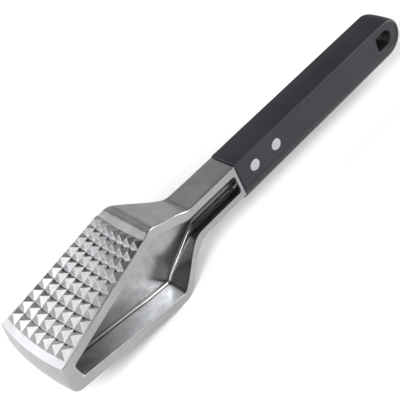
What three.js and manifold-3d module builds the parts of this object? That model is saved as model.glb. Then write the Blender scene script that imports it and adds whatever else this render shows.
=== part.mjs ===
// Meat tenderiser: a cast aluminium head with neck and tang, a moulded grip pushed over the tang,
// and two flush handle rivets, each pressed together from a tube half and a pin half.
// Millimetres. X runs along the handle to its end, Z points out of the toothed face.
// Everything is drawn from a point on the neck's centre line, below the first row of teeth. The
// finished group is then moved so that the origin is the middle of the underside of its box.
import * as THREE from 'three';
import * as BufferGeometryUtils from 'three/addons/utils/BufferGeometryUtils.js';
import Module from 'manifold-3d';

const wasm = await Module();
wasm.setup();

// ---- driving dimensions ----
const RISE_TOP = 0.2217;          // slope of the toothed plate against the handle's axis
const RISE_BOTTOM = 0.2330;       // slope of the smooth plate
const NOSE_SAGITTA = 2.4;         // how far the nose bows forwards in the middle
const NECK_END = 148.6;           // where the grip starts
const RIM_CHAMFER = 0.5;
const POCKET_DEPTH = 16.5;        // from a side of the head to the web
const WEB_HALF = 3.0;             // half the web's thickness in the neck
const HEAD_FILLET = 2.2;          // where a pocket's walls meet the web
const NECK_FILLET = 4.8;          // the neck's channel is nearly half round
const DRAFT = 0.3;                // how much a pocket narrows from rim to web

const TOOTH_ROWS = 10;
const TOOTH_COLUMNS = 7;
const TOOTH_HEIGHT = 3.16;
const TOOTH_PITCH = 8.85;         // first gap between rows
const TOOTH_SHRINK = 0.0285;      // each gap is this much of the first one shorter
const TOOTH_WIDTH = 8.32;         // between columns, in the first row
const TOOTH_FAN = 0.0274;         // columns close up towards the neck
const TOOTH_ARCH = 0.0023;        // rows bow forwards with the nose
const TOOTH_SINK = 0.3;

const TANG = { x: 214, half: 4.0, top: 8.0, bottom: -8.0 };
const GAP = 0.3;                  // between pieces that touch

const GRIP = {
  start: NECK_END + GAP, end: 302.2, half: 10.6, top: 11.5, topRear: 10.4, bottom: -18.2,
  bottomRear: -17.8, crown: 0.8, lowerRound: 9.6, edge: 0.9, endEdge: 3.2, topRound: 11.5,
  bottomRound: 14.5,
};
const HOLE = { front: 279.6, rear: 292.6, top: 5.6, bottom: -5.2, cornerFront: 1.8, cornerRear: 5.0 };

const RIVETS = [162.2, 181.4];    // along the grip
const RIVET_Z = 0.5;
const RIVET_HEAD = 3.68;          // head radius
const RIVET_HEAD_DEPTH = 1.6;
const TUBE_OUTER = 2.4;
const TUBE_INNER = 1.55;
const PIN_RADIUS = 1.25;

// half the width of the casting along X: [x, half width]
const PLAN = [
  [-12, 32.5], [78.6, 20.8], [81.7, 20.1], [84, 19.25], [87.9, 17.7], [91.9, 16.0],
  [96, 14.2], [98.6, 13.05], [100.9, 12.15], [104, 11.5], [108, 11.05], [114, 10.8],
  [NECK_END + 1, 10.4],
];

const ALUMINIUM = { color: 0xb4b5b7, roughness: 0.34, metalness: 1.0 };
const POLYMER = { color: 0x3f4144, roughness: 0.55, metalness: 0.0 };
const RIVET_METAL = { color: 0xc3c6ca, roughness: 0.3, metalness: 1.0 };

// ---- helpers ----
function along(table, x) {
  for (let i = 1; i < table.length; i++) {
    const [x0, y0] = table[i - 1];
    const [x1, y1] = table[i];
    if (x <= x1 || i === table.length - 1) {
      const t = THREE.MathUtils.clamp((x - x0) / (x1 - x0), 0, 1);
      return y0 + (y1 - y0) * t;
    }
  }
  return table[0][1];
}

const halfWidth = (x) => along(PLAN, x);
const webHalf = (x) => Math.max(WEB_HALF, halfWidth(x) - POCKET_DEPTH);
const fillet = (x) => HEAD_FILLET + (NECK_FILLET - HEAD_FILLET) * THREE.MathUtils.smoothstep(x, 92, 110);

// A closed outline with rounded corners. Each corner is { x, z, r, n, m }: its radius, the steps
// round it, and the points added on the straight edge after it. Edge i runs from corner i to the
// next one, and shift[i] moves it inwards. Outlines with the same n and m match point for point.
function outline(corners, shift) {
  const count = corners.length;
  const points = corners.map((c) => new THREE.Vector2(c.x, c.z));
  let area = 0;
  points.forEach((p, i) => {
    const q = points[(i + 1) % count];
    area += p.x * q.y - q.x * p.y;
  });
  const turn = Math.sign(area);
  const edges = points.map((p, i) => {
    const d = points[(i + 1) % count].clone().sub(p).normalize();
    const inward = new THREE.Vector2(-d.y, d.x).multiplyScalar(turn);
    const s = typeof shift === 'number' ? shift : shift[i];
    return { p: p.clone().addScaledVector(inward, s), d, inward, s };
  });
  const arcs = corners.map((c, i) => {
    const a = edges[(i + count - 1) % count];
    const b = edges[i];
    const cross = a.d.x * b.d.y - a.d.y * b.d.x;
    const w = b.p.clone().sub(a.p);
    const t = (w.x * b.d.y - w.y * b.d.x) / cross;
    const corner = a.p.clone().addScaledVector(a.d, t);
    const convex = cross * turn > 0;
    const mean = (a.s + b.s) / 2;
    const r = Math.max(0.15, convex ? c.r - mean : c.r + mean);
    const angle = Math.atan2(cross, a.d.dot(b.d));
    const reach = r * Math.tan(Math.abs(angle) / 2);
    const from = corner.clone().addScaledVector(a.d, -reach);
    const side = convex ? 1 : -1;
    const centre = from.clone().addScaledVector(a.inward, r * side);
    const list = [];
    for (let k = 0; k <= c.n; k++) {
      const spoke = from.clone().sub(centre).rotateAround(new THREE.Vector2(), angle * k / c.n);
      list.push(centre.clone().add(spoke));
    }
    return list;
  });
  const out = [];
  arcs.forEach((list, i) => {
    out.push(...list);
    const a = list[list.length - 1];
    const b = arcs[(i + 1) % count][0];
    for (let k = 1; k <= corners[i].m; k++) out.push(a.clone().lerp(b, k / (corners[i].m + 1)));
  });
  return out;
}

// Stacks matching rings of points into one closed surface. The two end rings are closed by
// strips between their upper and lower halves.
function stack(rings) {
  const count = rings[0].length;
  const position = [];
  rings.forEach((ring) => ring.forEach((p) => position.push(p.x, p.y, p.z)));
  const index = [];
  for (let k = 1; k < rings.length; k++) {
    for (let i = 0; i < count; i++) {
      const j = (i + 1) % count;
      const a = (k - 1) * count;
      const b = k * count;
      index.push(a + i, a + j, b + j, a + i, b + j, b + i);
    }
  }
  const close = (base, flip) => {
    for (let i = 0; i < count / 2 - 1; i++) {
      const p = base + i;
      const q = base + i + 1;
      const r = base + count - 1 - i;
      const s = base + count - 2 - i;
      if (q === s) index.push(...(flip ? [p, q, r] : [p, r, q]));
      else index.push(...(flip ? [p, q, s, p, s, r] : [p, s, q, p, r, s]));
    }
  };
  close(0, false);
  close((rings.length - 1) * count, true);
  const geometry = new THREE.BufferGeometry();
  geometry.setAttribute('position', new THREE.Float32BufferAttribute(position, 3));
  geometry.setIndex(index);
  return geometry;
}

function solid(geometry, matrix) {
  const copy = geometry.clone();
  if (matrix) copy.applyMatrix4(matrix);
  copy.deleteAttribute('normal');
  copy.deleteAttribute('uv');
  const merged = BufferGeometryUtils.mergeVertices(copy, 1e-4);
  const triVerts = Uint32Array.from(merged.index.array);
  const vertProperties = Float32Array.from(merged.attributes.position.array);
  const made = new wasm.Manifold(new wasm.Mesh({ numProp: 3, vertProperties, triVerts }));
  if (made.volume() > 0) return made;
  for (let i = 0; i < triVerts.length; i += 3) {
    [triVerts[i], triVerts[i + 1]] = [triVerts[i + 1], triVerts[i]];
  }
  return new wasm.Manifold(new wasm.Mesh({ numProp: 3, vertProperties, triVerts }));
}

function toMesh(name, body, look) {
  const mesh = body.getMesh();
  const geometry = new THREE.BufferGeometry();
  const position = new Float32Array(mesh.numVert * 3);
  for (let i = 0; i < mesh.numVert; i++) {
    for (let k = 0; k < 3; k++) position[3 * i + k] = mesh.vertProperties[mesh.numProp * i + k];
  }
  geometry.setAttribute('position', new THREE.BufferAttribute(position, 3));
  geometry.setIndex(new THREE.BufferAttribute(Uint32Array.from(mesh.triVerts), 1));
  geometry.computeVertexNormals();
  const out = new THREE.Mesh(geometry, new THREE.MeshStandardMaterial(look));
  out.name = name;
  return out;
}

// A cylinder along Y between two Y values.
function barAcross(x, z, radius, y0, y1, sides) {
  const geometry = new THREE.CylinderGeometry(radius, radius, Math.abs(y1 - y0), sides);
  geometry.translate(x, (y0 + y1) / 2, z);
  return solid(geometry);
}

function box(x0, x1, y0, y1, z0, z1) {
  const geometry = new THREE.BoxGeometry(x1 - x0, y1 - y0, z1 - z0);
  geometry.translate((x0 + x1) / 2, (y0 + y1) / 2, (z0 + z1) / 2);
  return solid(geometry);
}

// ---- the casting ----
// The side outline: neck top, rear bend, rear corner, nose, and back along the smooth plate.
// bow moves the nose's two corners forwards along their plates.
function castingOutline(bow) {
  return [
    { x: NECK_END, z: 11.0, r: 0.6, n: 1, m: 2 },
    { x: 109.3, z: 11.2, r: 12, n: 5, m: 4 },
    { x: 80.0, z: 29.6, r: 9, n: 5, m: 1 },
    { x: -6.35 - bow, z: 10.5 - RISE_TOP * bow, r: 0.8, n: 5, m: 1 },
    { x: -9.2 - bow, z: -8.8 + RISE_BOTTOM * bow, r: 7.5, n: 5, m: 1 },
    { x: 82.2, z: -30.1, r: 9, n: 5, m: 4 },
    { x: 110.5, z: -12.0, r: 12, n: 5, m: 2 },
    { x: NECK_END, z: -12.2, r: 0.6, n: 1, m: 0 },
  ];
}

// The pocket's mouth, matching the outline above corner for corner.
const POCKET = [
  { x: 146.2, z: 5.3, r: 1.5, n: 1, m: 2 },
  { x: 105.8, z: 6.1, r: 14, n: 5, m: 4 },
  { x: 78.8, z: 23.1, r: 5, n: 5, m: 1 },
  { x: 0.9, z: 5.8, r: 2.0, n: 5, m: 1 },
  { x: 1.0, z: -4.0, r: 2.0, n: 5, m: 1 },
  { x: 79.5, z: -24.2, r: 4, n: 5, m: 4 },
  { x: 107.6, z: -6.9, r: 14, n: 5, m: 2 },
  { x: 146.2, z: -7.3, r: 1.5, n: 1, m: 0 },
];

function castingShell() {
  const side = [];
  const mouth = (shift, y) => outline(POCKET, shift).map((p) => new THREE.Vector3(p.x, -y(p.x), p.y));
  // The fillet at angle a: 90 degrees at the web, 0 where it runs into the wall.
  const rounded = (a) => {
    const inward = 1 - Math.cos(a);
    const head = DRAFT + HEAD_FILLET * inward;
    const neck = DRAFT + NECK_FILLET * inward;
    const shift = [neck, head, head, head, head, head, neck, DRAFT + HEAD_FILLET * inward];
    return mouth(shift, (x) => webHalf(x) + fillet(x) * (1 - Math.sin(a)));
  };
  [90, 45, 0].forEach((a) => side.push(rounded(THREE.MathUtils.degToRad(a))));
  side.push(mouth(0, halfWidth));
  const bow = (t) => NOSE_SAGITTA * (1 - t * t);
  const outer = (t, shift, back) => outline(castingOutline(bow(t)), shift)
    .map((p) => new THREE.Vector3(p.x, -(halfWidth(p.x) - back) * t, p.y));
  side.push(outer(1, RIM_CHAMFER, 0));
  side.push(outer(1, 0, RIM_CHAMFER));
  const across = [0.7, 0.35];
  across.forEach((t) => side.push(outer(t, 0, RIM_CHAMFER)));
  const middle = outer(0, 0, RIM_CHAMFER);
  const mirrored = side.slice().reverse().map((ring) => ring.map((p) => new THREE.Vector3(p.x, -p.y, p.z)));
  return stack([...side, middle, ...mirrored]);
}

// One tooth of four sloping faces. It stands on the plate at distance s along it.
function tooth(s, y, length, width) {
  const slope = Math.atan(RISE_TOP);
  const foot = 1 + TOOTH_SINK / TOOTH_HEIGHT;
  const geometry = new THREE.ConeGeometry(Math.SQRT1_2, 1, 4, 1);
  geometry.rotateY(Math.PI / 4);
  geometry.rotateX(Math.PI / 2);
  geometry.translate(0, 0, -0.5);
  geometry.scale((length - 0.35) * foot, (width - 0.35) * foot, TOOTH_HEIGHT + TOOTH_SINK);
  geometry.rotateY(-slope);
  const apex = 15.1;
  geometry.translate(s * Math.cos(slope), y, apex + s * Math.sin(slope));
  return solid(geometry);
}

function toothRows() {
  const teeth = [];
  for (let i = 0; i < TOOTH_ROWS; i++) {
    const start = i * TOOTH_PITCH * (1 - TOOTH_SHRINK * i / 2);
    const length = TOOTH_PITCH * (1 - TOOTH_SHRINK * i);
    const width = TOOTH_WIDTH - TOOTH_FAN * start;
    for (let j = 0; j < TOOTH_COLUMNS; j++) {
      const y = (j - (TOOTH_COLUMNS - 1) / 2) * width;
      teeth.push(tooth(start + TOOTH_ARCH * y * y, y, length, width));
    }
  }
  return teeth;
}

function headCasting() {
  let body = solid(castingShell());
  toothRows().forEach((t) => { body = body.add(t); });
  body = body.add(box(NECK_END - 2, TANG.x, -TANG.half, TANG.half, TANG.bottom, TANG.top));
  RIVETS.forEach((x) => {
    body = body.subtract(barAcross(x, RIVET_Z, TUBE_OUTER + GAP, -TANG.half - 1, TANG.half + 1, 16));
  });
  return body;
}

// ---- the grip ----
// Rings of the side outline at each Y: the lower edges are rounded far more than the upper ones.
function gripShell() {
  const g = GRIP;
  const corners = [
    { x: g.start, z: g.top, r: 0.4, n: 1, m: 1 },
    { x: g.end, z: g.topRear, r: g.topRound, n: 7, m: 0 },
    { x: g.end, z: g.bottomRear, r: g.bottomRound, n: 7, m: 1 },
    { x: g.start, z: g.bottom, r: 0.4, n: 1, m: 0 },
  ];
  const round = (y, r) => {
    const over = Math.abs(y) - (g.half - r);
    return over > 0 ? r - Math.sqrt(Math.max(0, r * r - over * over)) : 0;
  };
  const ring = (y) => {
    const top = round(y, g.edge) - g.crown * (1 - (y / g.half) ** 2);
    const shift = [top, round(y, g.endEdge), round(y, g.lowerRound), 0];
    return outline(corners, shift).map((p) => new THREE.Vector3(p.x, y, p.y));
  };
  const steps = [1, 0.995, 0.97, 0.92, 0.84, 0.72, 0.56, 0.35, 0.15];
  const left = steps.map((t) => -g.half * t);
  const right = steps.slice().reverse().map((t) => g.half * t);
  return stack([...left, ...right].map(ring));
}

function hangingHole() {
  const h = HOLE;
  const corners = [
    { x: h.front, z: h.top, r: h.cornerFront, n: 3, m: 0 },
    { x: h.rear, z: h.top, r: h.cornerRear, n: 5, m: 0 },
    { x: h.rear, z: h.bottom, r: h.cornerRear, n: 5, m: 0 },
    { x: h.front, z: h.bottom, r: h.cornerFront, n: 3, m: 0 },
  ];
  const shape = new THREE.Shape(outline(corners, 0));
  const geometry = new THREE.ExtrudeGeometry(shape, { depth: 40, bevelEnabled: false });
  geometry.rotateX(Math.PI / 2);
  geometry.translate(0, 20, 0);
  return solid(geometry);
}

function grip() {
  const t = TANG;
  let body = solid(gripShell());
  body = body.subtract(hangingHole());
  body = body.subtract(box(GRIP.start - 2, t.x + 1, -t.half - GAP, t.half + GAP, t.bottom - GAP, t.top + GAP));
  const deep = GRIP.half + 1;
  const seat = GRIP.half - RIVET_HEAD_DEPTH - GAP;
  RIVETS.forEach((x) => {
    body = body.subtract(barAcross(x, RIVET_Z, TUBE_OUTER + GAP, -deep, deep, 16));
    body = body.subtract(barAcross(x, RIVET_Z, RIVET_HEAD + GAP, -deep, -seat, 24));
    body = body.subtract(barAcross(x, RIVET_Z, RIVET_HEAD + GAP, seat, deep, 24));
  });
  return body;
}

// ---- the rivets ----
// The tube half goes in from the near side, the pin half from the far side.
function rivetTube(x) {
  const face = -GRIP.half;
  const inner = face + RIVET_HEAD_DEPTH;
  let body = barAcross(x, RIVET_Z, RIVET_HEAD, face, inner, 24);
  body = body.add(barAcross(x, RIVET_Z, TUBE_OUTER, face + 0.4, -face - RIVET_HEAD_DEPTH - 1.2, 16));
  return body.subtract(barAcross(x, RIVET_Z, TUBE_INNER, inner - 0.2, -face, 16));
}

function rivetPin(x) {
  const face = GRIP.half;
  const inner = face - RIVET_HEAD_DEPTH;
  const body = barAcross(x, RIVET_Z, RIVET_HEAD, inner, face, 24);
  return body.add(barAcross(x, RIVET_Z, PIN_RADIUS, -face + RIVET_HEAD_DEPTH + 1.5, face - 0.4, 16));
}

const tenderiser = new THREE.Group();
tenderiser.add(toMesh('head_casting', headCasting(), ALUMINIUM));
tenderiser.add(toMesh('handle_grip', grip(), POLYMER));
tenderiser.add(toMesh('rivet_front_tube', rivetTube(RIVETS[0]), RIVET_METAL));
tenderiser.add(toMesh('rivet_front_pin', rivetPin(RIVETS[0]), RIVET_METAL));
tenderiser.add(toMesh('rivet_rear_tube', rivetTube(RIVETS[1]), RIVET_METAL));
tenderiser.add(toMesh('rivet_rear_pin', rivetPin(RIVETS[1]), RIVET_METAL));

const extent = new THREE.Box3().setFromObject(tenderiser);
tenderiser.position.set(-(extent.min.x + extent.max.x) / 2, 0, -extent.min.z);

export default tenderiser;
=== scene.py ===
# %% [markdown]
# # A meat tenderiser: cast aluminium head, moulded grip, two flush rivets
#
# The tool has one long casting, a dark plastic grip pushed over its tail, and two rivets through
# both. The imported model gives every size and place, so this lesson rebuilds the same shapes with
# finer meshes, then gives each one a finish. We start by loading the frame and keeping its box.

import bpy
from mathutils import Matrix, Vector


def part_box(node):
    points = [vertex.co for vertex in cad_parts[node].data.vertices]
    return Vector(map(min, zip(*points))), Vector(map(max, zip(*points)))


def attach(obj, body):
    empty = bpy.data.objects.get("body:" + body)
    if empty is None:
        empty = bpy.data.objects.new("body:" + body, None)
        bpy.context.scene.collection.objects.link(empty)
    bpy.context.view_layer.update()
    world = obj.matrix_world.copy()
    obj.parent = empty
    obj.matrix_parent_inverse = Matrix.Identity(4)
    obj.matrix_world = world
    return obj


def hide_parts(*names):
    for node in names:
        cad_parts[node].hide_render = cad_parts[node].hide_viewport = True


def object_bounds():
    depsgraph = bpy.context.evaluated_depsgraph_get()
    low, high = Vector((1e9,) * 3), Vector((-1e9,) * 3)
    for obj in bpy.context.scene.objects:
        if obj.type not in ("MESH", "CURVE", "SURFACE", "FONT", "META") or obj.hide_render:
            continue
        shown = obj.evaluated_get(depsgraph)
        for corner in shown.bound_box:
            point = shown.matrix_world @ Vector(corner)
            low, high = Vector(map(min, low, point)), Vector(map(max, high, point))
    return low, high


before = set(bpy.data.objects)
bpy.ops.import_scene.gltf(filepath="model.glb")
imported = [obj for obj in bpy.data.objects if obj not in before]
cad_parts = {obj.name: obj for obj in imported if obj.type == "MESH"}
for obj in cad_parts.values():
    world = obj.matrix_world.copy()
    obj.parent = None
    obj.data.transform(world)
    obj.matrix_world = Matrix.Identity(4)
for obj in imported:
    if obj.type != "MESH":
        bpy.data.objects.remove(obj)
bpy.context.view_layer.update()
print("pieces in the frame:", sorted(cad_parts))

# %% The other modules
import math

import bmesh
import bpy
import numpy as np
from mathutils import Matrix, Vector

print("Blender", bpy.app.version_string)

# %% [markdown]
# ## A drawing board in millimetres
#
# The casting is easiest to draw in millimetres from a point on the neck's centre line. The packed
# frame has its own origin, so we look up where one rivet ended up and work out the shift from it.
# Every mesh is drawn on this board, cut and rounded there, and scaled to metres as the last step.

# %% From the board to the frame
FRONT_RIVET = (162.2, 0.5)      # x and z of the front rivet on the board
REAR_RIVET = (181.4, 0.5)
low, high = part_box("rivet_front_tube")
shift_x = (low[0] + high[0]) / 2 - FRONT_RIVET[0] / 1000
shift_z = (low[2] + high[2]) / 2 - FRONT_RIVET[1] / 1000
to_frame = Matrix.Translation((shift_x, 0, shift_z)) @ Matrix.Scale(0.001, 4)
print("board origin in the frame:", round(shift_x, 5), round(shift_z, 5))


# %% [markdown]
# ## Outlines with rounded corners
#
# Most of this tool is one side outline repeated across its width: the same corners, a little
# smaller or larger each time. So the first helper turns a few corners into a rounded outline, and
# can move each edge inwards by its own amount. Two outlines from the same corners always match
# point for point, which is what lets us stack them into one skin.

# %% outline
def outline(corners, shift):
    """corners: (x, z, radius, steps round the corner, extra points on the edge after it)."""
    count = len(corners)
    points = [Vector(c[:2]) for c in corners]
    turn = math.copysign(1, sum(points[i].cross(points[(i + 1) % count]) for i in range(count)))
    edges = []
    for i, p in enumerate(points):
        d = (points[(i + 1) % count] - p).normalized()
        inward = Vector((-d.y, d.x)) * turn
        s = shift if np.isscalar(shift) else shift[i]
        edges.append((p + inward * s, d, inward, s))
    arcs = []
    for i, (_, _, radius, steps, _) in enumerate(corners):
        (pa, da, na, sa), (pb, db, _, sb) = edges[i - 1], edges[i]
        cross = da.cross(db)
        corner = pa + da * ((pb - pa).cross(db) / cross)
        convex = cross * turn > 0
        r = max(0.15, radius - (sa + sb) / 2 if convex else radius + (sa + sb) / 2)
        angle = math.atan2(cross, da.dot(db))
        start = corner - da * (r * math.tan(abs(angle) / 2))
        centre = start + na * (r if convex else -r)
        spoke = start - centre
        arcs.append([centre + Matrix.Rotation(angle * k / steps, 2) @ spoke
                     for k in range(steps + 1)])
    made = []
    for i, arc in enumerate(arcs):
        made += arc
        following = arcs[(i + 1) % count][0]
        extra = corners[i][4]
        made += [arc[-1].lerp(following, k / (extra + 1)) for k in range(1, extra + 1)]
    return made


# %% [markdown]
# ## Stacking outlines into a skin
#
# A stack joins each ring of points to the next one with four-sided faces and closes both ends with
# strips across. It also notes which band each face belongs to, so that a ground rim can have
# another finish than the cast walls beside it.

# %% stack
def stack(rings, band_finish=None):
    """rings: lists of 3-D points of equal length. band_finish: one finish number per band."""
    count = len(rings[0])
    bands = band_finish or [0] * (len(rings) + 1)
    skin = bmesh.new()
    rows = [[skin.verts.new(p) for p in ring] for ring in rings]
    for k in range(1, len(rings)):
        for i in range(count):
            j = (i + 1) % count
            face = skin.faces.new((rows[k - 1][i], rows[k - 1][j], rows[k][j], rows[k][i]))
            face.material_index = bands[k]
    for row, band in ((rows[0], bands[0]), (rows[-1], bands[len(rings)])):
        for i in range(count // 2 - 1):
            across = [row[i], row[i + 1], row[count - 2 - i], row[count - 1 - i]]
            face = skin.faces.new(list(dict.fromkeys(across)))
            face.material_index = band
    bmesh.ops.recalc_face_normals(skin, faces=skin.faces)
    return skin


# %% Turn a skin into an object
def piece_from(skin, name, finishes=()):
    mesh = bpy.data.meshes.new(name)
    skin.to_mesh(mesh)
    skin.free()
    made = bpy.data.objects.new(name, mesh)
    bpy.context.scene.collection.objects.link(made)
    for finish in finishes:
        mesh.materials.append(finish)
    return made


# %% [markdown]
# ## Modifiers as workshop tools
#
# Cutting, joining and rounding are Blender modifiers here. Each one is worked out straight away
# and its result kept as the piece's own mesh, so that the next tool starts from a finished shape.

# %% apply, cut, join and round
def keep_result(piece):
    evaluated = piece.evaluated_get(bpy.context.evaluated_depsgraph_get())
    mesh = bpy.data.meshes.new_from_object(evaluated)
    piece.modifiers.clear()
    old, piece.data = piece.data, mesh
    bpy.data.meshes.remove(old)


def combine(piece, tool, operation):
    step = piece.modifiers.new("combine", "BOOLEAN")
    step.operation, step.solver, step.object = operation, "EXACT", tool
    keep_result(piece)
    bpy.data.objects.remove(tool)


def soften(piece, width, steps, angle):
    step = piece.modifiers.new("soften", "BEVEL")
    step.width, step.segments = width, steps
    step.limit_method, step.angle_limit = "ANGLE", math.radians(angle)
    keep_result(piece)


# %% Move a finished piece from the board into the frame
def hand_over(piece, node, crease=32):
    piece.data.transform(to_frame)
    piece.data.shade_smooth()
    piece.data.set_sharp_from_angle(angle=math.radians(crease))
    step = piece.modifiers.new("even shading", "WEIGHTED_NORMAL")
    step.keep_sharp = True
    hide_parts(node)
    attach(piece, "root")
    print(piece.name, "has", len(piece.data.polygons), "faces")


# %% [markdown]
# ## Sockets that can be added and multiplied
#
# A shader graph is easier to read as a sum than as a list of links. The class below wraps one
# socket: adding, subtracting or multiplying wraps makes the Math node. Anything that isn't plain
# arithmetic comes from its node method.

# %% The Wire class
class Wire:
    def __init__(self, tree, socket=None):
        self.tree, self.socket = tree, socket

    def node(self, kind, settings=None, sockets=None, output=0):
        """Adds a node: its settings first, then values or wires for its sockets."""
        made = self.tree.nodes.new(kind)
        for name, value in (settings or {}).items():
            if name == "stops":
                stops = made.color_ramp.elements
                while len(stops) < len(value):
                    stops.new(0.5)
                for stop, (place, colour) in zip(stops, value):
                    stop.position, stop.color = place, (*colour, 1)
            else:
                setattr(made, name, value)
        for name, value in (sockets or {}).items():
            if isinstance(value, Wire):
                self.tree.links.new(value.socket, made.inputs[name])
            else:
                made.inputs[name].default_value = value
        return Wire(self.tree, made.outputs[output] if made.outputs else None)

    def maths(self, operation, first, second=0.0):
        return self.node("ShaderNodeMath", {"operation": operation}, {0: first, 1: second})

    def __add__(self, other): return self.maths("ADD", self, other)
    def __radd__(self, other): return self.maths("ADD", other, self)
    def __sub__(self, other): return self.maths("SUBTRACT", self, other)
    def __rsub__(self, other): return self.maths("SUBTRACT", other, self)
    def __mul__(self, other): return self.maths("MULTIPLY", self, other)
    def __rmul__(self, other): return self.maths("MULTIPLY", other, self)
    def __pow__(self, other): return self.maths("POWER", self, other)

    def axis(self, name):
        return self.node("ShaderNodeSeparateXYZ", None, {0: self}, name)

    def stretched(self, x, y, z):
        return self.node("ShaderNodeVectorMath", {"operation": "MULTIPLY"}, {0: self, 1: (x, y, z)})

    def between(self, start, end):
        """0 below start, 1 above end, and a smooth rise between."""
        return self.node("ShaderNodeMapRange", {"interpolation_type": "SMOOTHSTEP"},
                         {"Value": self, "From Min": start, "From Max": end})

    def noise(self, scale, detail=3.0, roughness=0.55):
        return self.node("ShaderNodeTexNoise", None,
                         {"Vector": self, "Scale": scale, "Detail": detail, "Roughness": roughness})

    def mix(self, low_colour, high_colour):
        """This wire picks between two colours."""
        def whole(c): return c if isinstance(c, Wire) else (*c, 1)
        return self.node("ShaderNodeMix", {"data_type": "RGBA"},
                         {0: self, 6: whole(low_colour), 7: whole(high_colour)}, 2)

    def bump(self, strength, distance, normal=None):
        sockets = {"Height": self, "Strength": strength, "Distance": distance}
        if normal:
            sockets["Normal"] = normal
        return self.node("ShaderNodeBump", None, sockets)


# %% A material and its starting wires
def new_finish(name):
    """Returns the material, a wire to start from, and the place on the piece, in metres."""
    material = bpy.data.materials.new(name)
    material.use_nodes = True
    material.node_tree.nodes.clear()
    start = Wire(material.node_tree)
    place = start.node("ShaderNodeTexCoord", None, None, "Object")
    return material, start, place


def close_finish(start, **values):
    """Ends a material: colour, roughness and normal may be wires, the rest are plain numbers."""
    names = {key: key.replace("_", " ").title() for key in values}
    names["specular_ior_level"] = "Specular IOR Level"
    shader = start.node("ShaderNodeBsdfPrincipled", None, {names[k]: v for k, v in values.items()})
    start.node("ShaderNodeOutputMaterial", None, {"Surface": shader})


# %% [markdown]
# ## The satin finish of the casting
#
# The head comes from a die, then goes through a tumbler with small stones. That leaves a soft,
# even satin with tiny random marks instead of mirror or brush lines. We build it from three
# sizes of noise: clouds a few centimetres wide that change how dull it is, a grain of a few
# tenths of a millimetre for the stones' marks, and shallow waves from the die itself.
#
# The pockets are darker in the neck channel, on the rear wall and towards the nose. Narrow places
# like these mostly reflect dark. The light alone didn't make them dark enough here, so the rest
# is painted by place: a shortcut that stays dark from every side, and not a known coating.

# %% Satin aluminium
NOSE_SHADE = (0.10, 0.101, 0.105)
POCKET_LINE, POCKET_LINE_START = 0.257, 0.0037    # slope and height of the pocket's lower line


def satin(name, bright, dull, rough, grain_depth, wave_depth, rear_shade=None, nose_shade=False):
    """rear_shade: where the shade starts and is full, along the tool in metres, and its colour."""
    material, start, place = new_finish(name)
    clouds = place.noise(34, 4, 0.6)
    grain = place.noise(2300, 2, 0.6)
    blotch = place.noise(160, 3, 0.5)
    colour = (clouds * 0.6 + blotch * 0.4).between(0.36, 0.66).mix(dull, bright)
    if rear_shade:
        first, last, dark = rear_shade
        colour = (place.axis("X") + blotch * 0.004).between(first, last).mix(colour, dark)
    if nose_shade:      # darkest at the nose, and reaching further back along the lower line
        along = place.axis("X") - shift_x
        above = place.axis("Z") - shift_z + along * POCKET_LINE + POCKET_LINE_START
        reach = along + above * 0.5 + blotch * 0.006
        colour = reach.between(0.020, 0.078).mix(NOSE_SHADE, colour)
    waves = place.noise(75, 2, 0.4).bump(0.55, wave_depth)
    fine = grain.bump(0.6, grain_depth, waves)
    close_finish(start, base_color=colour, metallic=1.0,
                 roughness=rough - 0.05 + clouds * 0.06 + grain * 0.07, normal=fine)
    return material


# %% The satin finishes: skin, teeth, the pocket's web and the pocket's wall
channel = (shift_x + 0.094, shift_x + 0.112, (0.16, 0.162, 0.168))
rear_wall = (shift_x + 0.0775, shift_x + 0.0835, (0.20, 0.202, 0.208))
satin_skin = satin("satin_skin", (0.475, 0.48, 0.492), (0.375, 0.38, 0.392), 0.27,
                   0.000010, 0.00016)
satin_tooth = satin("satin_tooth", (0.525, 0.53, 0.54), (0.435, 0.44, 0.45), 0.18,
                    0.000007, 0.00005)
pocket_skin = satin("pocket_skin", (0.46, 0.465, 0.472), (0.34, 0.345, 0.352), 0.21,
                    0.000013, 0.00020, channel, nose_shade=True)
pocket_wall = satin("pocket_wall", (0.56, 0.565, 0.572), (0.42, 0.425, 0.432), 0.24,
                    0.000013, 0.00016, rear_wall)
print("satin finishes:", satin_skin.name, satin_tooth.name, pocket_skin.name, pocket_wall.name)

# %% [markdown]
# ## The ground rims
#
# The flat side rims, where the two halves of the die met, are ground flat on a belt. Belt marks
# run along the tool, so the noise is stretched: long in X and very short in Z. The ground metal
# is duller than the tumbled skin and its colour is more even.

# %% Ground aluminium
ground_rim, start, place = new_finish("ground_rim")
belt = place.stretched(90, 900, 2600).noise(1.0, 4, 0.65)
clouds = place.noise(40, 3, 0.5)
patches = place.noise(420, 3, 0.6)
tone = (clouds * 0.5 + belt * 0.3 + patches * 0.2).between(0.33, 0.68)
colour = tone.mix((0.348, 0.352, 0.360), (0.424, 0.428, 0.437))
close_finish(start, base_color=colour, metallic=1.0, roughness=0.36 + belt * 0.12 + clouds * 0.04,
             normal=(belt * 0.7 + patches * 0.3).bump(0.5, 0.00002))

# %% [markdown]
# ## The side outline of the casting
#
# Seen from the side the casting is a wedge with a neck. Eight corners describe it: two at the end
# of the neck, two where the neck bends into the rear slopes, two where the slopes meet the plates,
# and two at the nose. The nose is bowed: its corners move forwards along their plates towards the
# middle of the width, so the outline takes that bow as a number.

# %% Driving dimensions of the casting
RISE_TOP, RISE_BOTTOM = 0.2217, 0.2330   # slopes of the toothed and of the smooth plate
NOSE_BOW = 2.35
NECK_END = 148.6
RIM_ROUND = 0.55
POCKET_DEPTH, WEB_HALF, DRAFT = 16.5, 3.0, 0.3
HEAD_FILLET, NECK_FILLET = 2.2, 4.8


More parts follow.
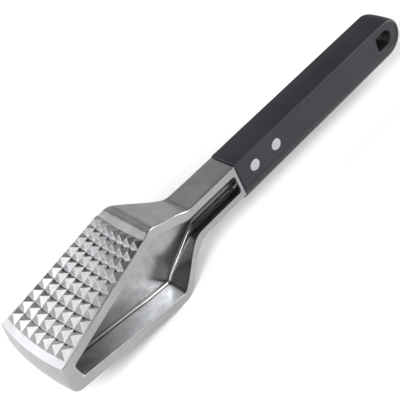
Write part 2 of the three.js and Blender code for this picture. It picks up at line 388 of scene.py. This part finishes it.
def casting_corners(bow):
    return [
        (NECK_END, 11.0, 0.6, 2, 6), (109.3, 11.2, 12, 12, 12), (80.0, 29.6, 9, 12, 4),
        (-6.35 - bow, 10.5 - RISE_TOP * bow, 0.8, 6, 3),
        (-9.2 - bow, -8.8 + RISE_BOTTOM * bow, 7.5, 6, 4),
        (82.2, -30.08, 9, 12, 12), (110.5, -12.0, 12, 12, 6), (NECK_END, -12.2, 0.6, 2, 0)]


POCKET = [
    (146.2, 5.3, 1.5, 2, 6), (105.8, 6.1, 14, 12, 12), (78.8, 23.1, 5, 12, 4), (0.9, 5.8, 2, 6, 3),
    (1.0, -4.0, 2, 6, 4), (79.5, -24.2, 4, 12, 12), (107.6, -6.9, 14, 12, 6),
    (146.2, -7.3, 1.5, 2, 0)]

# %% [markdown]
# ## How wide the casting is along its length
#
# From above, the head tapers in straight lines, then runs into the neck in one soft S. A smooth
# curve through a few stations gives the half width anywhere. The web in the middle is that width
# less the depth of the pockets, until only its own thickness is left.

# %% Half width along the tool
STATIONS = np.array([
    (-12, 32.5), (40, 25.78), (78.6, 20.8), (84, 19.25), (91.9, 16.0), (98.6, 13.05), (104, 11.5),
    (108, 11.05), (114, 10.8), (149.6, 10.4)])
steepness = np.gradient(STATIONS[:, 1], STATIONS[:, 0])


def half_width(x):
    k = int(np.clip(np.searchsorted(STATIONS[:, 0], x) - 1, 0, len(STATIONS) - 2))
    (x0, y0), (x1, y1) = STATIONS[k], STATIONS[k + 1]
    span = x1 - x0
    t = min(max((x - x0) / span, 0), 1)
    return ((1 + 2 * t) * (1 - t) ** 2 * y0 + t * (1 - t) ** 2 * span * steepness[k]
            + t * t * (3 - 2 * t) * y1 - t * t * (1 - t) * span * steepness[k + 1])


def ease(t):
    t = min(max(t, 0), 1)
    return t * t * (3 - 2 * t)


def web_half(x):
    gap = half_width(x) - POCKET_DEPTH - WEB_HALF
    return WEB_HALF + (gap + math.hypot(gap, 0.5)) / 2


def fillet(x):
    return HEAD_FILLET + (NECK_FILLET - HEAD_FILLET) * ease((x - 92) / 18)


print("half width at the nose, rear corner and neck:",
      [round(half_width(x), 2) for x in (-6, 80, 120)])


# %% [markdown]
# ## The shell: pockets, rims and outer skin in one stack
#
# One stack of rings goes from the web out through the pocket's fillet and wall, over the ground
# rim, round its edge, across the whole outside, and down into the pocket on the other side.
# Because all rings match, there is no cutting at all, and every edge can be as soft as it should.

# %% Rings of one side
def pocket_ring(shift, y_at):
    return [Vector((p.x, -y_at(p.x), p.y)) for p in outline(POCKET, shift)]


def fillet_ring(turn):
    """turn: 90 where the fillet leaves the web, 0 where it meets the pocket's wall."""
    a = math.radians(turn)
    head = DRAFT + HEAD_FILLET * (1 - math.cos(a))
    neck = DRAFT + NECK_FILLET * (1 - math.cos(a))
    return pocket_ring([neck, head, head, head, head, head, neck, head],
                       lambda x: web_half(x) + fillet(x) * (1 - math.sin(a)))


def outer_ring(across, shift, back):
    """across: 1 at the near rim, 0 in the middle of the width."""
    corners = casting_corners(NOSE_BOW * (1 - across * across))
    return [Vector((p.x, -(half_width(p.x) - back) * across, p.y)) for p in outline(corners, shift)]


# %% All rings, near side to far side
SKIN, RIM, POCKET_SKIN, TOOTH, WALL = range(5)      # finish numbers
LIP = 0.3
side = [(fillet_ring(turn), POCKET_SKIN) for turn in (90, 75, 60, 45, 30, 15, 0)]
for turn in (0, 30, 60, 90):                     # the pocket's mouth has a small soft lip
    a = math.radians(turn)
    side.append((pocket_ring(-LIP * (1 - math.cos(a)),
                             lambda x: half_width(x) - LIP * (1 - math.sin(a))), WALL))
for turn in (0, 22.5, 45, 67.5, 90):            # the rim's outer edge, from the rim to the skin
    a = math.radians(turn)
    side.append((outer_ring(1, RIM_ROUND * (1 - math.sin(a)), RIM_ROUND * (1 - math.cos(a))),
                 RIM if turn == 0 else SKIN))
for across in (0.92, 0.8, 0.65, 0.5, 0.35, 0.2):
    side.append((outer_ring(across, 0, RIM_ROUND), SKIN))


def other_side(ring):
    return [Vector((p.x, -p.y, p.z)) for p in ring]


near = [ring for ring, _ in side]
bands = [finish for _, finish in side]
rings = near + [outer_ring(0, 0, RIM_ROUND)] + [other_side(ring) for ring in reversed(near)]
finishes = (satin_skin, ground_rim, pocket_skin, satin_tooth, pocket_wall)
casting = piece_from(stack(rings, bands + [SKIN, SKIN] + bands[::-1]), "casting", finishes)
print("rings:", len(rings), "points in each:", len(rings[0]))

# %% [markdown]
# ## Seventy teeth in one pad
#
# The teeth are pyramids between V grooves. Ten rows bow forwards with the nose and get a little
# shorter towards the neck, and seven columns close up with the taper. All of them are cut from one
# grid: its lines are the bottoms of the grooves, and each cell rises to a point. The grid gets a
# flat underside, its edges are softened like a worn die's, and it is joined to the plate.

# %% Where the grid's lines run
TOOTH_PITCH, TOOTH_SHRINK = 8.85, 0.0285
TOOTH_WIDTH, TOOTH_FAN, TOOTH_ARCH = 8.32, 0.0274, 0.0023
ROWS, COLUMNS = 10, 7
slope = math.atan(RISE_TOP)


def on_plate(row, column, height):
    """height is measured from the points of the teeth, at right angles to the plate."""
    s = row * TOOTH_PITCH * (1 - TOOTH_SHRINK * row / 2)
    y = column * (TOOTH_WIDTH - TOOTH_FAN * s)
    s += TOOTH_ARCH * y * y
    return Vector((s * math.cos(slope) - height * math.sin(slope), y,
                   15.1 + s * math.sin(slope) + height * math.cos(slope)))


# %% The pad of teeth
GROOVE, UNDERSIDE = -3.06, -3.6
pad = bmesh.new()
floor_of = {(i, j): pad.verts.new(on_plate(i - 0.5, j - COLUMNS / 2, GROOVE))
            for i in range(ROWS + 1) for j in range(COLUMNS + 1)}
under_of = {(i, j): pad.verts.new(on_plate(i - 0.5, j - COLUMNS / 2, UNDERSIDE))
            for i in range(ROWS + 1) for j in range(COLUMNS + 1)}
for i in range(ROWS):
    for j in range(COLUMNS):
        cell = [(i, j), (i + 1, j), (i + 1, j + 1), (i, j + 1)]
        point = pad.verts.new(on_plate(i, j - (COLUMNS - 1) / 2, 0.0))
        for a, b in zip(cell, cell[1:] + cell[:1]):
            pad.faces.new((floor_of[a], floor_of[b], point))
        pad.faces.new([under_of[a] for a in cell])
border = ([(i, 0) for i in range(ROWS)] + [(ROWS, j) for j in range(COLUMNS)]
          + [(i, COLUMNS) for i in range(ROWS, 0, -1)] + [(0, j) for j in range(COLUMNS, 0, -1)])
for a, b in zip(border, border[1:] + border[:1]):
    pad.faces.new((floor_of[a], floor_of[b], under_of[b], under_of[a]))
bmesh.ops.recalc_face_normals(pad, faces=pad.faces)
for face in pad.faces:
    face.material_index = TOOTH
teeth = piece_from(pad, "teeth", finishes)
soften(teeth, 0.11, 2, 40)
print("faces in the pad of teeth:", len(teeth.data.polygons))

# %% Join the teeth to the plate
combine(casting, teeth, "UNION")

# %% [markdown]
# ## The tang
#
# The casting goes on inside the grip as a flat tang, with a hole for each rivet. Nobody sees it,
# but it is what the rivets hold, so it is made to the frame's sizes all the same.

# %% A round bar across the tool, for bores
def bar(x, z, radius, y0, y1, steps=48):
    def ring(y):
        return [Vector((x + radius * math.cos(math.tau * k / steps), y,
                        z + radius * math.sin(math.tau * k / steps))) for k in range(steps)]
    return stack([ring(y0), ring(y1)])


def block(x0, x1, half, z0, z1):
    corners = [(x0, z0), (x1, z0), (x1, z1), (x0, z1)]
    return stack([[Vector((x, y, z)) for x, z in corners] for y in (-half, half)])


# %% Tang and its rivet bores
GAP, RIVET_SHANK = 0.3, 2.4
TANG_END, TANG_HALF, TANG_Z = 214.0, 4.0, 8.0
tang = block(NECK_END - 2, TANG_END, TANG_HALF, -TANG_Z, TANG_Z)
combine(casting, piece_from(tang, "tang"), "UNION")
for x, z in (FRONT_RIVET, REAR_RIVET):
    bore = bar(x, z, RIVET_SHANK + GAP, -TANG_HALF - 1, TANG_HALF + 1)
    combine(casting, piece_from(bore, "bore"), "DIFFERENCE")
hand_over(casting, "head_casting", 30)

# %% [markdown]
# ## The grip's plastic
#
# The grip is moulded in anthracite plastic. Its tool was spark eroded, which leaves a fine, even
# matt skin with no direction. Years in a drawer polish the high spots a little, so the dullness
# varies slowly along the grip, and a few faint rubs catch the light.

# %% Anthracite polymer
anthracite, start, place = new_finish("anthracite")
spark = place.noise(2600, 2, 0.5)
cloud = place.noise(28, 3, 0.5)
rubs = place.stretched(60, 500, 900).noise(1.0, 2, 0.5).between(0.58, 0.75)
tone = (cloud * 0.7 + spark * 0.3).between(0.35, 0.66)
colour = tone.mix((0.0132, 0.0145, 0.0182), (0.0188, 0.0205, 0.0252))
close_finish(start, base_color=colour, roughness=0.50 + cloud * 0.10 + spark * 0.06 - rubs * 0.04,
             specular_ior_level=0.42, normal=spark.bump(0.5, 0.00003))

# %% [markdown]
# ## Painted shade for the hole and the crease
#
# A hole like this is usually left by a core pin, which would make it smoother than the outside.
# Its wall is also painted darker: painted shade for the deep, narrow hole. The same painted shade
# goes in the grip's fine crease, which is too narrow to go dark on its own at this size.

# %% Dark plastic as painted shade
painted_shade_plastic, start, place = new_finish("painted_shade_plastic")
drag = place.stretched(900, 60, 900).noise(1.0, 3, 0.6)
close_finish(start, base_color=drag.mix((0.006, 0.0065, 0.007), (0.014, 0.015, 0.017)),
             roughness=0.30 + drag * 0.15, specular_ior_level=0.42, normal=drag.bump(0.5, 0.00004))

# %% [markdown]
# ## The grip's body
#
# The grip is one side outline again, this time stacked straight across. Its flat sides end at the
# top in a tight edge under a slightly crowned back, and roll far under at the bottom, where the
# fingers close round it. The end is nearly a half circle. Each ring's edges move inwards as it
# comes to a side, by the sagitta of that edge's own rounding. A fine crease runs along the lower
# edge of each flat side and round the end. It needs no cutting: the outermost rings only have to
# be a little smaller and sink a little.

# %% Sizes of the grip
GRIP_START, GRIP_END, GRIP_HALF = NECK_END + GAP, 302.2, 10.6
CROWN, TOP_EDGE, END_EDGE, LOWER_ROUND = 0.8, 0.9, 3.2, 9.6
CREASE_TOP, CREASE_FADE = 7, 6      # the crease fades out over 6 mm below this height
GRIP_CORNERS = [
    (GRIP_START, 11.5, 0.5, 3, 12), (GRIP_END, 10.4, 11.5, 20, 0),
    (GRIP_END, -17.8, 14.5, 20, 12), (GRIP_START, -18.2, 0.5, 3, 0)]


def sagitta(y, radius):
    over = abs(y) - (GRIP_HALF - radius)
    return radius - math.sqrt(max(0, radius * radius - over * over)) if over > 0 else 0


def grip_ring(y, inset=0.0, dip=0.0):
    """inset shrinks the ring at its lower edge and its end. dip sinks it there, for the crease."""
    top = sagitta(y, TOP_EDGE) - CROWN * (1 - (y / GRIP_HALF) ** 2)
    front = sagitta(y, 0.35)
    shift = [top + inset * 0.1, sagitta(y, END_EDGE) + inset,
             sagitta(y, LOWER_ROUND) + inset, front + inset * 0.1]
    side = math.copysign(1, y)
    return [Vector((p.x, y - side * dip * ease((CREASE_TOP - p.y) / CREASE_FADE), p.y))
            for p in outline(GRIP_CORNERS, shift)]


# %% Stack the grip
reach = [GRIP_HALF - TOP_EDGE * (1 - math.cos(math.radians(a)))
         for a in (0, 12, 24, 36, 50, 66, 82)]
reach += [GRIP_HALF * t for t in (0.885, 0.85, 0.8, 0.74, 0.66, 0.56, 0.45, 0.33, 0.2, 0.07)]
lines = [(GRIP_HALF, inset, dip)
         for inset, dip in ((1.75, 0.0), (1.35, 0.10), (1.05, 0.48), (0.45, 0.30))]
lines += [(y, 0.0, 0.0) for y in reach]
rings = [grip_ring(-y, inset, dip) for y, inset, dip in lines]
rings += [grip_ring(y, inset, dip) for y, inset, dip in reversed(lines)]
OUTSIDE, DARK = 0, 1                # finish numbers of the grip
# the crease's bands take the dark finish: painted shade
crease = [OUTSIDE, OUTSIDE, DARK, DARK] + [OUTSIDE] * (len(rings) - 6) + [DARK, DARK, OUTSIDE]
grip = piece_from(stack(rings, crease), "grip", (anthracite, painted_shade_plastic))
print("rings of the grip:", len(rings))

# %% [markdown]
# ## Holes in the grip
#
# A hanging hole goes through the end: tight corners towards the head, wide ones at the back. Its
# mouth is rolled over. The tool that cuts it flares near both sides, so the roll comes with the
# cut. The slot for the tang and the seats for the rivet heads are plain cuts.

# %% Hanging hole
HOLE = [(279.6, 5.6, 1.8, 8, 2), (292.6, 5.6, 5.0, 10, 2),
        (292.6, -5.2, 5.0, 10, 2), (279.6, -5.2, 1.8, 8, 2)]
MOUTH = 0.7
flare = [(-GRIP_HALF - 1, -MOUTH - 1.0)]
for turn in (0, 18, 36, 54, 72, 90):
    a = math.radians(turn)
    flare.append((-GRIP_HALF + MOUTH * (1 - math.cos(a)), -MOUTH * (1 - math.sin(a))))
flare += [(-y, s) for y, s in reversed(flare)]
hole = [[Vector((p.x, y, p.y)) for p in outline(HOLE, s)] for y, s in flare]
MOUTH_RINGS = 7
# the hole's inner wall takes the dark finish: painted shade
inside = [DARK if MOUTH_RINGS <= band <= len(flare) - MOUTH_RINGS else OUTSIDE
          for band in range(len(flare) + 1)]
combine(grip, piece_from(stack(hole, inside), "hole", (anthracite, painted_shade_plastic)), "DIFFERENCE")
print("faces in the grip with its hole:", len(grip.data.polygons))

# %% Slot for the tang, and rivet seats
RIVET_HEAD, HEAD_DEPTH = 3.68, 1.6
slot = block(GRIP_START - 2, TANG_END + 1, TANG_HALF + GAP, -TANG_Z - GAP, TANG_Z + GAP)
combine(grip, piece_from(slot, "slot"), "DIFFERENCE")
SEAT_RADIUS = RIVET_HEAD + 0.12
beyond, seat = GRIP_HALF + 1, GRIP_HALF - HEAD_DEPTH - GAP
for x, z in (FRONT_RIVET, REAR_RIVET):
    for radius, start_y, end_y in ((RIVET_SHANK + GAP, -beyond, beyond),
                                   (SEAT_RADIUS, -beyond, -seat), (SEAT_RADIUS, seat, beyond)):
        combine(grip, piece_from(bar(x, z, radius, start_y, end_y), "bore"), "DIFFERENCE")
hand_over(grip, "handle_grip", 30)

# %% [markdown]
# ## Rivet metal
#
# The rivet heads are ground flush with the grip's sides after pressing. The wheel leaves faint
# circular marks, so this bump is drawn from the distance to the rivet's own centre.

# %% Turned rivet metal
def rivet_metal(name, x, z):
    material, start, place = new_finish(name)
    dx = place.axis("X") - (x / 1000 + shift_x)
    dz = place.axis("Z") - (z / 1000 + shift_z)
    radius = (dx * dx + dz * dz) ** 0.5
    circles = start.node("ShaderNodeCombineXYZ", None, {0: radius * 9000, 1: place.axis("X") * 60})
    marks = circles.noise(1.0, 3, 0.6)
    grain = place.noise(1500, 3, 0.6)
    tone = (marks * 0.5 + grain * 0.5).between(0.35, 0.65)
    colour = tone.mix((0.48, 0.485, 0.50), (0.57, 0.575, 0.59))
    close_finish(start, base_color=colour, metallic=1.0, roughness=0.34 + grain * 0.12,
                 normal=(marks * 0.6 + grain * 0.4).bump(0.4, 0.000012))
    return material


# %% [markdown]
# ## Turning the rivets
#
# Both halves of a rivet are round, so each is one profile swept round its axis: a thin flat head
# with a softened edge, and a shank. The tube half is hollow and goes in from the near side. The
# pin half comes from the far side and is pressed into it.

# %% turn: sweep a closed profile of (radius, y) round the rivet's axis
def turned(name, profile, centre, finish, steps=64):
    x, z = centre
    made = bmesh.new()
    rows = []
    for radius, y in profile:
        if radius == 0:
            rows.append([made.verts.new((x, y, z))] * steps)
        else:
            angles = [math.tau * k / steps for k in range(steps)]
            rows.append([made.verts.new((x + radius * math.cos(a), y, z + radius * math.sin(a)))
                         for a in angles])
    closing = [] if profile[0][0] == 0 else [(rows[-1], rows[0])]
    for a, b in list(zip(rows, rows[1:])) + closing:
        for k in range(steps):
            corners = list(dict.fromkeys([a[k - 1], a[k], b[k], b[k - 1]]))
            made.faces.new(corners)
    bmesh.ops.recalc_face_normals(made, faces=made.faces)
    return piece_from(made, name, (finish,))


# %% Profiles of the two halves
SOFT_RIM = 0.18
TUBE_BORE, PIN_RADIUS = 1.55, 1.25
face, back = GRIP_HALF, GRIP_HALF - HEAD_DEPTH
rim = [(RIVET_HEAD - SOFT_RIM * (1 - math.sin(a)), SOFT_RIM * (1 - math.cos(a)))
       for a in (math.pi / 2, math.pi / 3, math.pi / 6, 0)]
tube_end, pin_end = back - 1.2, -back + 1.5
tube = [(0, -back - 0.2), (TUBE_BORE, -back - 0.2), (TUBE_BORE, tube_end), (RIVET_SHANK, tube_end),
        (RIVET_SHANK, -back), (RIVET_HEAD, -back)]
tube += [(r, -face + d) for r, d in rim] + [(0, -face)]
pin = [(0, pin_end), (PIN_RADIUS - 0.15, pin_end), (PIN_RADIUS, pin_end + 0.2),
       (PIN_RADIUS, back), (RIVET_HEAD, back)]
pin += [(r, face - d) for r, d in rim] + [(0, face)]
print("points in the profiles:", len(tube), len(pin))

# %% Four rivet halves
for label, centre in (("front", FRONT_RIVET), ("rear", REAR_RIVET)):
    finish = rivet_metal(label + "_rivet_metal", *centre)
    for half, profile in (("tube", tube), ("pin", pin)):
        piece = turned(f"{label}_rivet_{half}", profile, centre, finish)
        hand_over(piece, f"rivet_{label}_{half}", 25)

# %% [markdown]
# ## A pale floor
#
# The floor is plain and pale. It only carries a soft shadow, and its light reaches the sides of
# the tool from below.

# %% Floor
pale, start, place = new_finish("pale_floor")
tone = place.noise(3.0, 2, 0.5).mix((0.90, 0.90, 0.90), (0.93, 0.93, 0.93))
close_finish(start, base_color=tone, roughness=0.9)
sheet = bmesh.new()
bmesh.ops.create_grid(sheet, x_segments=8, y_segments=8, size=4.0)
stage_floor = piece_from(sheet, "floor", (pale,))
stage_floor.location.z = min(0.0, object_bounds()[0][2])

# %% [markdown]
# ## Studio light
#
# Satin metal shows the room more than it shows itself, so the light is a low dome of soft panels
# and the room beyond them is nearly dark. The strongest panels stand at the left and low on the
# right, and a row behind the tool lights its top faces. Only two weak ones stand high, towards
# the near side: that keeps the backs of the teeth dark and their near faces bright.

# %% The room
world = bpy.data.worlds.new("studio")
bpy.context.scene.world = world
world.use_nodes = True
world.node_tree.nodes.clear()
room = Wire(world.node_tree)
backdrop = room.node("ShaderNodeBackground", None, {"Color": (1, 1, 1, 1), "Strength": 0.02})
room.node("ShaderNodeOutputWorld", None, {"Surface": backdrop})

# %% Soft panels
PANEL, STAND_OFF = 0.68, 1.6      # metres
aim = to_frame @ Vector((75.8, 0.0, 0.9))
panels = [                        # turn from +X, height above the floor in degrees, watts
    (336, 10, 20.9), (344, 29, 6.2), (316, 29, 3.2), (205, 29, 14.9), (216, 48, 7.9),
    (180, 48, 3.1), (96, 10, 8.5), (120, 10, 1.2), (144, 10, 1.1), (48, 10, 0.7), (67, 29, 0.9),
    (95, 29, 0.7), (122, 29, 2.7), (150, 29, 2.0), (109, 46, 3.0), (240, 67, 2.0),
    (262, 68, 0.5), (261, 29, 1.3)]
for turn, height, watts in panels:
    lamp = bpy.data.lights.new("panel", "AREA")
    lamp.shape, lamp.size, lamp.energy = "SQUARE", PANEL, watts
    panel = bpy.data.objects.new("panel", lamp)
    bpy.context.scene.collection.objects.link(panel)
    a, e = math.radians(turn), math.radians(height)
    way = Vector((math.cos(e) * math.cos(a), math.cos(e) * math.sin(a), math.sin(e)))
    panel.location = aim + way * STAND_OFF
    panel.rotation_mode = "QUATERNION"
    panel.rotation_quaternion = way.to_track_quat("Z", "Y")
print("soft panels:", len(panels))

# %% [markdown]
# ## The camera
#
# The camera stands to the near side and in front, looks down at a little under forty degrees, and
# is rolled so that the tool crosses the frame from corner to corner. A long lens keeps the taper
# honest.

# %% Camera
lens = bpy.data.cameras.new("camera")
lens.sensor_width, lens.lens = 36.0, 90.7
lens.clip_start, lens.clip_end = 0.01, 50
camera = bpy.data.objects.new("camera", lens)
bpy.context.scene.collection.objects.link(camera)
camera.location = to_frame @ Vector((-75.662, -420.193, 369.565))
ahead = Vector((0.336976, 0.708268, -0.620325))
camera.rotation_mode = "QUATERNION"
camera.rotation_quaternion = (Matrix.Rotation(math.radians(27.5033), 3, ahead).to_quaternion()
                              @ ahead.to_track_quat("-Z", "Y"))
bpy.context.scene.camera = camera
bpy.context.scene.view_settings.view_transform = "Standard"
